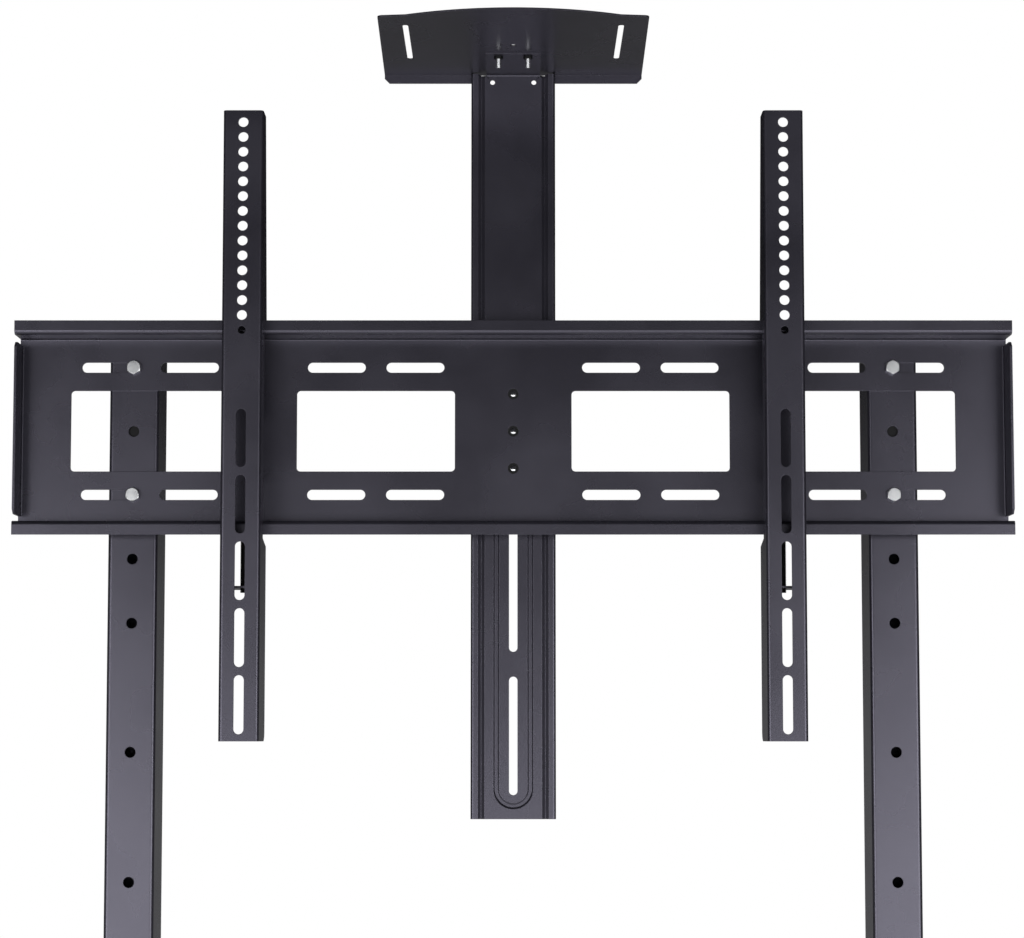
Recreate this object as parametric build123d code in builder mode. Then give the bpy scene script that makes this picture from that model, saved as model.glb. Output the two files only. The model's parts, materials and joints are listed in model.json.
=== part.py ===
import os
from math import cos, radians, sin, sqrt, tan

from build123d import *

os.makedirs("parts", exist_ok=True)

# Mobile television stand on two posts, in millimetres.
# X runs to the right, Y to the back, Z up. The origin is on the floor, midway between the four wheels.

# Posts and the screen's height
plate_centre_height = 1400.0
post_spacing = 771.0
post_width = 50.0
post_depth = 60.0
post_wall = 2.5
post_corner_radius = 4.0
post_above_top_bolt = 24.0
post_hole_diameter = 11.0
post_hole_pitch = 65.0
post_hole_steps = [1, 0, -1, -2, -3, -5, -7]
cap_top_thickness = 3.0
cap_plug_depth = 12.0
cap_plug_wall = 2.0
cap_clearance = 0.1

# Mounting plate, one folded sheet
plate_width = 1003.0
plate_height = 216.0
plate_thickness = 2.5
plate_pan_depth = 35.0
plate_lip_height = 14.0
plate_bend_radius = 1.5
plate_end_relief = 7.0
plate_end_chamfer = 5.0
plate_end_setback = 1.0
window_width = 160.5
window_height = 82.5
window_corner_radius = 4.0
window_centre_inner = 139.5
window_centre_outer = 369.0
plate_slot_length = 59.0
plate_slot_width = 10.5
plate_slot_pitch = 80.0
bolt_step_from_centre = 1

# Upright arms that hook over the plate
arm_spacing = 540.0
arm_width = 40.0
arm_thickness = 2.0
arm_bend_radius = 1.5
arm_above_plate_centre = 316.0
arm_below_plate_centre = 314.0
arm_standoff = 26.0
arm_depth_top = 26.0
arm_depth_at_hook = 48.0
arm_depth_bottom = 56.0
arm_step_slope = 6.0
arm_step_below_lip = 4.0
arm_corner_radius = 10.0
arm_first_hole_drop = 12.0
arm_hole_pitch = 15.0
arm_hole_count = 14
arm_hole_diameter = 10.0
arm_hook_hole_diameter = 8.0
arm_slot_count = 5
arm_slot_length = 58.0
arm_slot_width = 10.0
arm_slot_pitch = 66.0
arm_last_slot_rise = 36.0
hook_side_clearance = 0.5
hook_seat_clearance = 0.2
hook_top_clearance = 1.0

# Lock under the plate's lower lip
lock_screw_diameter = 6.0
lock_screw_reach = 8.0
lock_screw_below_tab = 4.0
lock_screw_lip_clearance = 0.5
lock_socket_across_flats = 3.0
lock_socket_depth = 4.0
lock_tab_below_lip = 52.0
lock_tab_thickness = 2.0
lock_tab_depth = 36.0
lock_tab_front_gap = 15.0
lock_ear_height = 20.0
thread_clearance = 0.05

# Centre mast, one folded sheet
mast_width = 86.0
mast_thickness = 2.0
mast_flange_depth = 13.0
mast_bend_radius = 1.0
mast_above_plate_centre = 370.0
mast_below_plate_centre = 392.0
bead_offset = 32.4
bead_width = 7.0
bead_depth = 2.2
groove_radius = 17.2
groove_width = 6.0
groove_depth = 1.2
groove_past_slot = 11.0
mast_slot_width = 8.5
upper_slot_above_plate_centre = 70.0
upper_slot_length = 294.0
slot_bridge = 25.0
lower_slot_length = 119.0
mast_hole_diameter = 5.0
mast_hole_spacing = 42.4
mast_hole_drop = 9.0
tongue_width = 55.0
tongue_reach = 76.0
tongue_relief_drop = 4.6
tongue_relief_run = 8.0
mast_bolt_pitch = 38.0
mast_bolt_count = 3

# Tray on top of the mast
tray_rear_width = 265.0
tray_front_width = 258.0
tray_depth = 206.0
tray_overhang_behind_mast = 11.0
tray_bow = 22.0
tray_bow_chord = 204.0
tray_front_shoulder = 3.0
tray_thickness = 1.5
tray_lip_height = 10.0
tray_lip_chamfer = 5.0
tray_corner_radius = 5.0
tray_lip_gap = 92.0
tray_slot_spacing = 207.4
tray_slot_length = 119.0
tray_slot_width = 5.5
tray_slot_from_rear = 119.0
tray_hole_diameter = 6.5
tray_hole_from_rear = 110.0
tray_stud_spacing = 29.4
tray_stud_from_tongue_end = 9.0
tray_stud_below_tongue = 11.5
tray_nut_width = 8.0
tray_nut_height = 2.7

# Bolts, to metric sizes
bolt8_diameter = 8.0
bolt8_head_width = 13.0
bolt8_head_height = 5.3
bolt8_nut_height = 6.5
bolt6_diameter = 6.0
bolt6_head_width = 10.0
bolt6_head_height = 4.0
washer6_diameter = 18.0
washer6_thickness = 1.6
stud5_diameter = 5.0
stud5_head_diameter = 7.8
bolt_end_proud = 2.0
clinch_nut_diameter = 11.0
clinch_clearance = 0.02
clearance_hole_play = 0.5
nut_bar_width = 30.0
nut_bar_thickness = 8.0
nut_bar_past_hole = 10.0

# Base legs, crossbar and the posts' feet
leg_width = 60.0
leg_height = 40.0
leg_wall = 2.5
leg_corner_radius = 4.0
leg_length = 690.0
leg_cap_thickness = 5.0
leg_cap_plug_depth = 14.0
foot_length = 160.0
foot_thickness = 6.0
foot_bolt_spacing_x = 34.0
foot_bolt_spacing_y = 124.0
foot_bolt_length = 18.0
crossbar_height = 60.0
crossbar_depth = 40.0
crossbar_wall = 2.5
crossbar_centre_height = 250.0
crossbar_plate_thickness = 5.0
crossbar_plate_height = 130.0
crossbar_bolt_spacing = 100.0
crossbar_bolt_length = 16.0

# Swivel casters with brakes
stem_from_leg_end = 90.0
wheel_diameter = 75.0
wheel_width = 26.0
wheel_rim_diameter = 60.0
wheel_web_thickness = 8.0
wheel_rim_thickness = 4.0
wheel_boss_diameter = 22.0
wheel_side_clearance = 0.3
tyre_edge_radius = 6.0
fork_side_gap = 2.0
fork_thickness = 2.5
fork_top_height = 84.0
fork_disc_diameter = 48.0
fork_foot_radius = 13.0
fork_bend_radius = 3.0
caster_trail = 26.0
caster_height = 104.0
stem_collar_width = 24.0
stem_collar_height = 6.0
stem_diameter = 12.0
stem_length = 22.0
stem_nut_width = 19.0
stem_nut_height = 10.0
race_diameter = 46.0
race_wall = 2.0
race_edge_gap = 0.5
kingpin_diameter = 10.0
kingpin_head_diameter = 18.0
kingpin_head_height = 3.0
kingpin_head_gap = 0.2
bearing_ring_diameter = 32.0
bearing_ring_width = 5.0
running_clearance = 0.05
brake_pivot_back = 14.0
brake_pivot_up = 41.5
brake_pivot_diameter = 5.0
brake_boss_radius = 5.5
brake_width = 24.0
brake_shoe_gap = 4.3

# Planes and heights that several pieces share
post_x = post_spacing / 2
arm_x = arm_spacing / 2
post_front_y = -post_depth / 2
plate_back_y = post_front_y
plate_face_y = plate_back_y - plate_thickness
lip_front_y = plate_back_y - plate_pan_depth
lip_back_y = lip_front_y + plate_thickness
arm_front_y = lip_front_y - arm_standoff
plate_top = plate_centre_height + plate_height / 2
plate_bottom = plate_centre_height - plate_height / 2
upper_flange_under = plate_top - plate_lip_height
upper_flange_top = upper_flange_under + plate_thickness
lower_flange_top = plate_bottom + plate_lip_height
lower_flange_under = lower_flange_top - plate_thickness
bolt_rise = bolt_step_from_centre * post_hole_pitch
post_top = plate_centre_height + bolt_rise + post_above_top_bolt
leg_top = caster_height + leg_height
post_bottom = leg_top + foot_thickness
hex_corner_ratio = 1 / cos(radians(30))
sides = {"left": -1, "right": 1}
ends = {"front": -1, "rear": 1}


def facing_front(y):
    """Plane across the stand at depth y, drawn in X and Z, with its normal towards the viewer."""
    return Plane.XZ.offset(-y)


def facing_side(x):
    """Upright plane at x, drawn in Y and Z, with its normal to the right."""
    return Plane.YZ.offset(x)


def level(z):
    """Level plane at height z, drawn in X and Y, with its normal up."""
    return Plane.XY.offset(z)


def folded_sheet(points, radii, thickness, side):
    """Face of a folded strip: a path along one surface of the sheet, thickened to one side."""
    with BuildLine() as path:
        FilletPolyline(*points, radius=radii)
        offset(amount=thickness, side=side)
    make_face(path.edges())


def tube_section(width, depth, wall, corner_radius):
    """Square-cornered hollow section with rounded edges."""
    RectangleRounded(width, depth, corner_radius)
    RectangleRounded(width - 2 * wall, depth - 2 * wall, max(corner_radius - wall, 0.5), mode=Mode.SUBTRACT)


# Posts: tubes with holes in the front wall, a welded foot and welded nuts for the crossbar
post_hole_heights = [plate_centre_height + step * post_hole_pitch for step in post_hole_steps]
crossbar_bolt_heights = [
    crossbar_centre_height - crossbar_bolt_spacing / 2,
    crossbar_centre_height + crossbar_bolt_spacing / 2,
]
foot_bolt_places = GridLocations(foot_bolt_spacing_x, foot_bolt_spacing_y, 2, 2)
for side, sign in sides.items():
    post_plane = Plane(origin=(sign * post_x, 0, post_bottom))
    inner_wall_x = sign * (post_x - post_width / 2)
    with BuildPart() as post:
        with BuildSketch(post_plane):
            tube_section(post_width, post_depth, post_wall, post_corner_radius)
        extrude(amount=post_top - post_bottom)
        with BuildSketch(facing_front(post_front_y)):
            with Locations(*[(sign * post_x, height) for height in post_hole_heights]):
                Circle(post_hole_diameter / 2)
        extrude(amount=-post_wall, mode=Mode.SUBTRACT)
        with BuildSketch(Plane(origin=(inner_wall_x, 0, 0), x_dir=(0, sign, 0), z_dir=(sign, 0, 0))):
            with Locations(*[(0, height) for height in crossbar_bolt_heights]):
                RegularPolygon(bolt8_head_width / 2, 6, major_radius=False)
        extrude(amount=post_wall + bolt8_nut_height)
        with BuildSketch(Plane(origin=(inner_wall_x, 0, 0), x_dir=(0, sign, 0), z_dir=(sign, 0, 0))):
            with Locations(*[(0, height) for height in crossbar_bolt_heights]):
                Circle(bolt8_diameter / 2 + thread_clearance)
        extrude(amount=post_wall + bolt8_nut_height, mode=Mode.SUBTRACT)
        with BuildSketch(Plane(origin=(sign * post_x, 0, leg_top))):
            RectangleRounded(leg_width, foot_length, post_corner_radius)
            with foot_bolt_places:
                Circle(bolt8_diameter / 2 + clearance_hole_play, mode=Mode.SUBTRACT)
        extrude(amount=foot_thickness)
    post.part.label = f"{side}_post"
    export_step(post.part, f"parts/{side}_post.step")

# Plastic caps pushed into the tops of the posts
plug_width = post_width - 2 * post_wall - 2 * cap_clearance
plug_depth = post_depth - 2 * post_wall - 2 * cap_clearance
for side, sign in sides.items():
    with BuildPart() as post_cap:
        with BuildSketch(Plane(origin=(sign * post_x, 0, post_top))):
            RectangleRounded(post_width, post_depth, post_corner_radius)
        extrude(amount=cap_top_thickness)
        fillet(post_cap.faces().sort_by(Axis.Z)[-1].edges(), cap_top_thickness * 0.4)
        with BuildSketch(Plane(origin=(sign * post_x, 0, post_top))):
            tube_section(plug_width, plug_depth, cap_plug_wall, post_corner_radius - post_wall)
        extrude(amount=-cap_plug_depth)
    post_cap.part.label = f"{side}_post_cap"
    export_step(post_cap.part, f"parts/{side}_post_cap.step")

# Tapped bars inside the posts, which the plate's bolts screw into
nut_bar_front_y = post_front_y + post_wall
for side, sign in sides.items():
    with BuildPart() as nut_bar:
        with BuildSketch(facing_front(nut_bar_front_y)):
            with Locations((sign * post_x, plate_centre_height)):
                Rectangle(nut_bar_width, 2 * (bolt_rise + nut_bar_past_hole))
            with Locations(*[(sign * post_x, plate_centre_height + end * bolt_rise) for end in (-1, 1)]):
                Circle(bolt8_diameter / 2 + thread_clearance, mode=Mode.SUBTRACT)
        extrude(amount=-nut_bar_thickness)
    nut_bar.part.label = f"{side}_nut_bar"
    export_step(nut_bar.part, f"parts/{side}_nut_bar.step")

# Mounting plate: the face lies on the posts, the flanges come forward and the lips turn up and down
plate_outer_radius = plate_bend_radius + plate_thickness
end_flange_reach = 5 * plate_outer_radius
end_flange_low = lower_flange_top + plate_end_relief
end_flange_high = upper_flange_under - plate_end_relief
end_flange_height = end_flange_high - end_flange_low
window_places = [(sign * x, plate_centre_height)
                 for sign in (-1, 1) for x in (window_centre_inner, window_centre_outer)]
plate_slot_places = [(x + half * plate_slot_pitch / 2, z + row * bolt_rise)
                     for x, z in window_places for half in (-1, 1) for row in (-1, 1)]
mast_bolt_heights = [plate_centre_height + (index - (mast_bolt_count - 1) / 2) * mast_bolt_pitch
                     for index in range(mast_bolt_count)]
with BuildPart() as mounting_plate:
    with BuildSketch(facing_side(-plate_width / 2)):
        folded_sheet(
            [(lip_back_y, plate_top), (lip_back_y, upper_flange_top), (plate_back_y, upper_flange_top),
             (plate_back_y, lower_flange_under), (lip_back_y, lower_flange_under), (lip_back_y, plate_bottom)],
            [plate_bend_radius, plate_outer_radius, plate_outer_radius, plate_bend_radius],
            plate_thickness, Side.RIGHT)
    extrude(amount=plate_width)
    for sign in (-1, 1):
        end_x = sign * plate_width / 2
        start_x = end_x - sign * end_flange_reach
        with BuildSketch(facing_front(plate_back_y)):
            with Locations(((start_x + end_x) / 2, plate_centre_height)):
                Rectangle(end_flange_reach, end_flange_height)
        extrude(amount=plate_thickness, mode=Mode.SUBTRACT)
        with BuildSketch(level(end_flange_low)):
            folded_sheet(
                [(start_x, plate_back_y), (end_x, plate_back_y), (end_x, lip_front_y + plate_end_setback)],
                [plate_outer_radius], plate_thickness, Side.RIGHT if sign > 0 else Side.LEFT)
        extrude(amount=end_flange_height)
        front_corners = (mounting_plate.edges().filter_by(Axis.X)
                         .filter_by_position(Axis.Y, lip_front_y, lip_front_y + 2 * plate_end_setback)
                         .filter_by_position(Axis.Z, end_flange_low, end_flange_high)
                         .filter_by_position(Axis.X, end_x - plate_outer_radius, end_x + plate_outer_radius))
        chamfer(front_corners, plate_end_chamfer)
    with BuildSketch(facing_front(plate_back_y)):
        with Locations(*window_places):
            RectangleRounded(window_width, window_height, window_corner_radius)
        with Locations(*plate_slot_places):
            SlotOverall(plate_slot_length, plate_slot_width)
        with Locations(*[(0, height) for height in mast_bolt_heights]):
            Circle(clinch_nut_diameter / 2 + clinch_clearance)
    extrude(amount=plate_thickness, mode=Mode.SUBTRACT)
mounting_plate.part.label = "mounting_plate"
export_step(mounting_plate.part, "parts/mounting_plate.step")

# Nuts pressed flush into the plate, for the mast's bolts
with BuildPart() as clinch_nuts:
    with BuildSketch(facing_front(plate_back_y)):
        with Locations(*[(0, height) for height in mast_bolt_heights]):
            Circle(clinch_nut_diameter / 2)
            Circle(bolt6_diameter / 2 + thread_clearance, mode=Mode.SUBTRACT)
    extrude(amount=plate_thickness)
clinch_nuts.part.label = "clinch_nuts"
export_step(clinch_nuts.part, "parts/clinch_nuts.step")

# Hexagon bolts that hold the plate to the posts through its outer slots
plate_bolt_places = [(sign * post_x, plate_centre_height + row * bolt_rise) for sign in (-1, 1) for row in (-1, 1)]
plate_bolt_length = plate_thickness + post_wall + nut_bar_thickness + bolt_end_proud
with BuildPart() as plate_bolts:
    with BuildSketch(facing_front(plate_face_y)):
        with Locations(*plate_bolt_places):
            RegularPolygon(bolt8_head_width / 2, 6, major_radius=False)
    extrude(amount=bolt8_head_height)
    with BuildSketch(facing_front(plate_face_y)):
        with Locations(*plate_bolt_places):
            Circle(bolt8_diameter / 2)
    extrude(amount=-plate_bolt_length)
plate_bolts.part.label = "plate_bolts"
export_step(plate_bolts.part, "parts/plate_bolts.step")

# Arms: channels with screen holes and slots, notched to hook over the plate's lips
arm_top = plate_centre_height + arm_above_plate_centre
arm_bottom = plate_centre_height - arm_below_plate_centre
arm_outer_radius = arm_bend_radius + arm_thickness
arm_hole_heights = [arm_top - arm_first_hole_drop - index * arm_hole_pitch for index in range(arm_hole_count)]
hook_hole_height = arm_hole_heights[-1] - arm_hole_pitch
arm_slot_heights = [arm_bottom + arm_last_slot_rise + index * arm_slot_pitch for index in range(arm_slot_count)]
hook_front_y = lip_back_y + hook_side_clearance
hook_seat = upper_flange_top + hook_seat_clearance
notch_y = lip_front_y - hook_side_clearance
notch_top = plate_top + hook_top_clearance
step_start = plate_bottom - arm_step_below_lip
behind_arm_y = arm_front_y + arm_depth_bottom + arm_depth_at_hook
for side, sign in sides.items():
    centre_x = sign * arm_x
    with BuildPart() as arm:
        with BuildSketch(Plane(origin=(centre_x, 0, arm_bottom))):
            folded_sheet(
                [(-arm_width / 2, arm_front_y + arm_depth_bottom), (-arm_width / 2, arm_front_y),
                 (arm_width / 2, arm_front_y), (arm_width / 2, arm_front_y + arm_depth_bottom)],
                [arm_outer_radius, arm_outer_radius], arm_thickness, Side.LEFT)
        extrude(amount=arm_top - arm_bottom)
        with BuildSketch(facing_side(centre_x)):
            with BuildLine():
                Polyline(
                    (arm_front_y + arm_depth_top, arm_top), (arm_front_y + arm_depth_at_hook, notch_top),
                    (arm_front_y + arm_depth_at_hook, hook_seat),
                    (hook_front_y + plate_bend_radius, hook_seat), (hook_front_y, hook_seat + plate_bend_radius),
                    (hook_front_y, notch_top),
                    (notch_y, notch_top), (notch_y, step_start),
                    (arm_front_y + arm_depth_bottom, step_start - arm_step_slope), (behind_arm_y, step_start),
                    (behind_arm_y, arm_top), close=True)
            make_face()
        extrude(amount=arm_width, both=True, mode=Mode.SUBTRACT)
        rear_bottom_corners = (arm.edges().filter_by(Axis.X)
                               .filter_by_position(Axis.Z, arm_bottom - 1, arm_bottom + 1)
                               .group_by(Axis.Y)[-1])
        fillet(rear_bottom_corners, arm_corner_radius)
        with BuildSketch(facing_front(arm_front_y)):
            with Locations(*[(centre_x, height) for height in arm_hole_heights]):
                Circle(arm_hole_diameter / 2)
            with Locations((centre_x, hook_hole_height)):
                Circle(arm_hook_hole_diameter / 2)
            with Locations(*[(centre_x, height) for height in arm_slot_heights]):
                SlotOverall(arm_slot_length, arm_slot_width, rotation=90)
        extrude(amount=-arm_thickness, mode=Mode.SUBTRACT)
    arm.part.label = f"{side}_arm"
    export_step(arm.part, f"parts/{side}_arm.step")

# Lock brackets welded inside the arms, and the set screws that reach up behind the plate's lower lip
tab_top = plate_bottom - lock_tab_below_lip
tab_front_y = arm_front_y + arm_thickness + lock_tab_front_gap
tab_half_width = arm_width / 2 - arm_thickness
lock_screw_y = lip_back_y + lock_screw_lip_clearance + lock_screw_diameter / 2
lock_screw_top = plate_bottom + lock_screw_reach
lock_screw_bottom = tab_top - lock_tab_thickness - lock_screw_below_tab
for side, sign in sides.items():
    centre_x = sign * arm_x
    with BuildPart() as lock_bracket:
        with BuildSketch(facing_front(tab_front_y)):
            folded_sheet(
                [(centre_x - tab_half_width, tab_top - lock_ear_height), (centre_x - tab_half_width, tab_top),
                 (centre_x + tab_half_width, tab_top), (centre_x + tab_half_width, tab_top - lock_ear_height)],
                [arm_bend_radius + lock_tab_thickness] * 2, lock_tab_thickness, Side.RIGHT)
        extrude(amount=-lock_tab_depth)
        with BuildSketch(Plane(origin=(centre_x, lock_screw_y, tab_top))):
            Circle(lock_screw_diameter / 2 + thread_clearance)
        extrude(amount=-lock_tab_thickness, mode=Mode.SUBTRACT)
    lock_bracket.part.label = f"{side}_lock_bracket"
    export_step(lock_bracket.part, f"parts/{side}_lock_bracket.step")

    with BuildPart() as lock_screw:
        with BuildSketch(Plane(origin=(centre_x, lock_screw_y, lock_screw_bottom))):
            Circle(lock_screw_diameter / 2)
        extrude(amount=lock_screw_top - lock_screw_bottom)
        chamfer(lock_screw.edges().group_by(Axis.Z)[-1], lock_screw_diameter / 6)
        with BuildSketch(Plane(origin=(centre_x, lock_screw_y, lock_screw_bottom))):
            RegularPolygon(lock_socket_across_flats / 2, 6, major_radius=False)
        extrude(amount=lock_socket_depth, mode=Mode.SUBTRACT)
    lock_screw.part.label = f"{side}_lock_screw"
    export_step(lock_screw.part, f"parts/{side}_lock_screw.step")

# Mast: a channel with two long beads, a pressed groove round its slots, and a tongue bent forward
mast_top = plate_centre_height + mast_above_plate_centre
mast_bottom = plate_centre_height - mast_below_plate_centre
mast_front_y = plate_back_y
mast_back_y = mast_front_y + mast_thickness
mast_half = mast_width / 2
mast_outer_radius = mast_bend_radius + mast_thickness
upper_slot_top = plate_centre_height + upper_slot_above_plate_centre
upper_slot_bottom = upper_slot_top - upper_slot_length
lower_slot_top = upper_slot_bottom - slot_bridge
lower_slot_bottom = lower_slot_top - lower_slot_length
groove_centre_height = (upper_slot_top + lower_slot_bottom) / 2
groove_length = upper_slot_top - lower_slot_bottom + 2 * groove_past_slot
tongue_top = mast_top + mast_thickness / 2
tongue_root = mast_top - 4 * mast_outer_radius
with BuildPart() as mast:
    with BuildSketch(level(mast_bottom)):
        with BuildLine():
            front_line = [(-mast_half, mast_front_y + mast_flange_depth), (-mast_half, mast_front_y)]
            back_line = [(-mast_half + mast_thickness, mast_front_y + mast_flange_depth),
                         (-mast_half + mast_thickness, mast_back_y)]
            for centre in (-bead_offset, bead_offset):
                for shift, depth in ((-bead_width / 2, 0), (0, bead_depth), (bead_width / 2, 0)):
                    front_line.append((centre + shift, mast_front_y + depth))
                    back_line.append((centre + shift, mast_back_y + depth))
            front_line += [(mast_half, mast_front_y), (mast_half, mast_front_y + mast_flange_depth)]
            back_line += [(mast_half - mast_thickness, mast_back_y),
                          (mast_half - mast_thickness, mast_front_y + mast_flange_depth)]
            Polyline(*front_line, *reversed(back_line), close=True)
        make_face()
    extrude(amount=mast_top - mast_bottom)
    mast_corners = (mast.edges().filter_by(Axis.Z)
                    .filter_by_position(Axis.Y, mast_front_y - 0.1, mast_front_y + 0.1))
    fillet([mast_corners.sort_by(Axis.X)[0], mast_corners.sort_by(Axis.X)[-1]], mast_outer_radius)
    # The web's top is cut back beside the tongue, which is bent forward out of the same sheet
    with BuildSketch(facing_front(mast_front_y)):
        with BuildLine():
            half = tongue_width / 2
            Polyline((-half - tongue_relief_run, mast_top), (-half, mast_top - tongue_relief_drop),
                     (-half, tongue_root), (half, tongue_root), (half, mast_top - tongue_relief_drop),
                     (half + tongue_relief_run, mast_top), close=True)
        make_face()
    extrude(amount=-mast_flange_depth, mode=Mode.SUBTRACT)
    with BuildSketch(facing_side(-tongue_width / 2)):
        folded_sheet(
            [(mast_back_y, tongue_root), (mast_back_y, tongue_top),
             (mast_front_y - tongue_reach, tongue_top)],
            [mast_outer_radius + mast_bend_radius], mast_thickness, Side.LEFT)
    extrude(amount=tongue_width)
    # The groove is pressed back from the front, so it stands out behind by as much
    for start_y, edge_mode in ((mast_back_y, Mode.ADD), (mast_front_y, Mode.SUBTRACT)):
        with BuildSketch(facing_front(start_y)):
            with Locations((0, groove_centre_height)):
                SlotOverall(groove_length + groove_width, 2 * groove_radius + groove_width, rotation=90)
                SlotOverall(groove_length - groove_width, 2 * groove_radius - groove_width, rotation=90,
                            mode=Mode.SUBTRACT)
        extrude(amount=-groove_depth, mode=edge_mode)
    with BuildSketch(facing_front(mast_front_y)):
        with Locations((0, (upper_slot_top + upper_slot_bottom) / 2)):
            SlotOverall(upper_slot_length, mast_slot_width, rotation=90)
        with Locations((0, (lower_slot_top + lower_slot_bottom) / 2)):
            SlotOverall(lower_slot_length, mast_slot_width, rotation=90)
        with Locations(*[(sign * mast_hole_spacing / 2, mast_top - mast_hole_drop) for sign in (-1, 1)]):
            Circle(mast_hole_diameter / 2)
    extrude(amount=-mast_thickness, mode=Mode.SUBTRACT)
    tongue_end_y = mast_front_y - tongue_reach
    tray_stud_y = tongue_end_y + tray_stud_from_tongue_end
    tray_stud_places = [(sign * tray_stud_spacing / 2, tray_stud_y) for sign in (-1, 1)]
    with BuildSketch(level(tongue_top)):
        with Locations(*tray_stud_places):
            Circle(stud5_diameter / 2 + clearance_hole_play / 2)
    extrude(amount=-mast_thickness, mode=Mode.SUBTRACT)
mast.part.label = "mast"
export_step(mast.part, "parts/mast.step")

# Washers and hexagon bolts behind the mast, screwed into the plate's pressed nuts from the back
with BuildPart() as mast_washers:
    with BuildSketch(facing_front(mast_back_y)):
        with Locations(*[(0, height) for height in mast_bolt_heights]):
            Circle(washer6_diameter / 2)
            Circle(bolt6_diameter / 2 + clearance_hole_play / 2, mode=Mode.SUBTRACT)
    extrude(amount=-washer6_thickness)
mast_washers.part.label = "mast_washers"
export_step(mast_washers.part, "parts/mast_washers.step")

mast_bolt_head_y = mast_back_y + washer6_thickness
with BuildPart() as mast_bolts:
    with BuildSketch(facing_front(mast_bolt_head_y)):
        with Locations(*[(0, height) for height in mast_bolt_heights]):
            RegularPolygon(bolt6_head_width / 2, 6, major_radius=False)
    extrude(amount=-bolt6_head_height)
    with BuildSketch(facing_front(mast_bolt_head_y)):
        with Locations(*[(0, height) for height in mast_bolt_heights]):
            Circle(bolt6_diameter / 2)
    extrude(amount=mast_bolt_head_y - plate_face_y)
mast_bolts.part.label = "mast_bolts"
export_step(mast_bolts.part, "parts/mast_bolts.step")

# Tray: a thin plate with a bowed front and a rear lip turned down on both sides of the mast
tray_under = tongue_top
tray_top = tray_under + tray_thickness
tray_rear_y = mast_front_y + tray_overhang_behind_mast
tray_front_y = tray_rear_y - tray_depth
tray_shoulder_y = tray_front_y - tray_front_shoulder
with BuildPart() as tray:
    with BuildSketch(level(tray_under)):
        with BuildLine():
            Polyline((-tray_bow_chord / 2, tray_shoulder_y), (-tray_front_width / 2, tray_front_y),
                     (-tray_rear_width / 2, tray_rear_y), (tray_rear_width / 2, tray_rear_y),
                     (tray_front_width / 2, tray_front_y), (tray_bow_chord / 2, tray_shoulder_y))
            ThreePointArc((-tray_bow_chord / 2, tray_shoulder_y), (0, tray_shoulder_y - tray_bow),
                          (tray_bow_chord / 2, tray_shoulder_y))
        make_face()
        with Locations(*[(sign * tray_slot_spacing / 2, tray_rear_y - tray_slot_from_rear) for sign in (-1, 1)]):
            SlotOverall(tray_slot_length, tray_slot_width, rotation=90, mode=Mode.SUBTRACT)
        with Locations((0, tray_rear_y - tray_hole_from_rear)):
            Circle(tray_hole_diameter / 2, mode=Mode.SUBTRACT)
        with Locations(*tray_stud_places):
            Circle(stud5_head_diameter / 2 + clinch_clearance, mode=Mode.SUBTRACT)
    extrude(amount=tray_thickness)
    front_corners = tray.edges().filter_by(Axis.Z).filter_by_position(
        Axis.Y, tray_front_y - 1, tray_front_y + 1)
    fillet(front_corners, tray_corner_radius)
    with BuildSketch(facing_front(tray_rear_y)):
        with BuildLine():
            rear_half = tray_rear_width / 2
            lip_bottom = tray_top - tray_lip_height
            Polyline((-rear_half, tray_top), (-rear_half, lip_bottom + tray_lip_chamfer),
                     (-rear_half + tray_lip_chamfer, lip_bottom), (rear_half - tray_lip_chamfer, lip_bottom),
                     (rear_half, lip_bottom + tray_lip_chamfer), (rear_half, tray_top), close=True)
        make_face()
    extrude(amount=tray_thickness)
    fillet(tray.edges().filter_by(Axis.X).filter_by_position(Axis.Z, tray_top - 0.1, tray_top + 0.1)
           .group_by(Axis.Y)[-1], tray_thickness)
    with BuildSketch(facing_front(tray_rear_y)):
        with Locations((0, tray_under - tray_lip_height / 2)):
            Rectangle(tray_lip_gap, tray_lip_height)
    extrude(amount=tray_thickness, mode=Mode.SUBTRACT)
tray.part.label = "tray"
export_step(tray.part, "parts/tray.step")

# Studs pressed flush into the tray, through the tongue, with a thin nut on each
with BuildPart() as tray_studs:
    with BuildSketch(level(tray_top)):
        with Locations(*tray_stud_places):
            Circle(stud5_head_diameter / 2)
    extrude(amount=-tray_thickness)
    with BuildSketch(level(tray_under)):
        with Locations(*tray_stud_places):
            Circle(stud5_diameter / 2)
    extrude(amount=-(mast_thickness + tray_stud_below_tongue))
tray_studs.part.label = "tray_studs"
export_step(tray_studs.part, "parts/tray_studs.step")

with BuildPart() as tray_nuts:
    with BuildSketch(level(tray_under - mast_thickness)):
        with Locations(*tray_stud_places):
            RegularPolygon(tray_nut_width / 2, 6, major_radius=False)
            Circle(stud5_diameter / 2 + thread_clearance, mode=Mode.SUBTRACT)
    extrude(amount=-tray_nut_height)
tray_nuts.part.label = "tray_nuts"
export_step(tray_nuts.part, "parts/tray_nuts.step")

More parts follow.
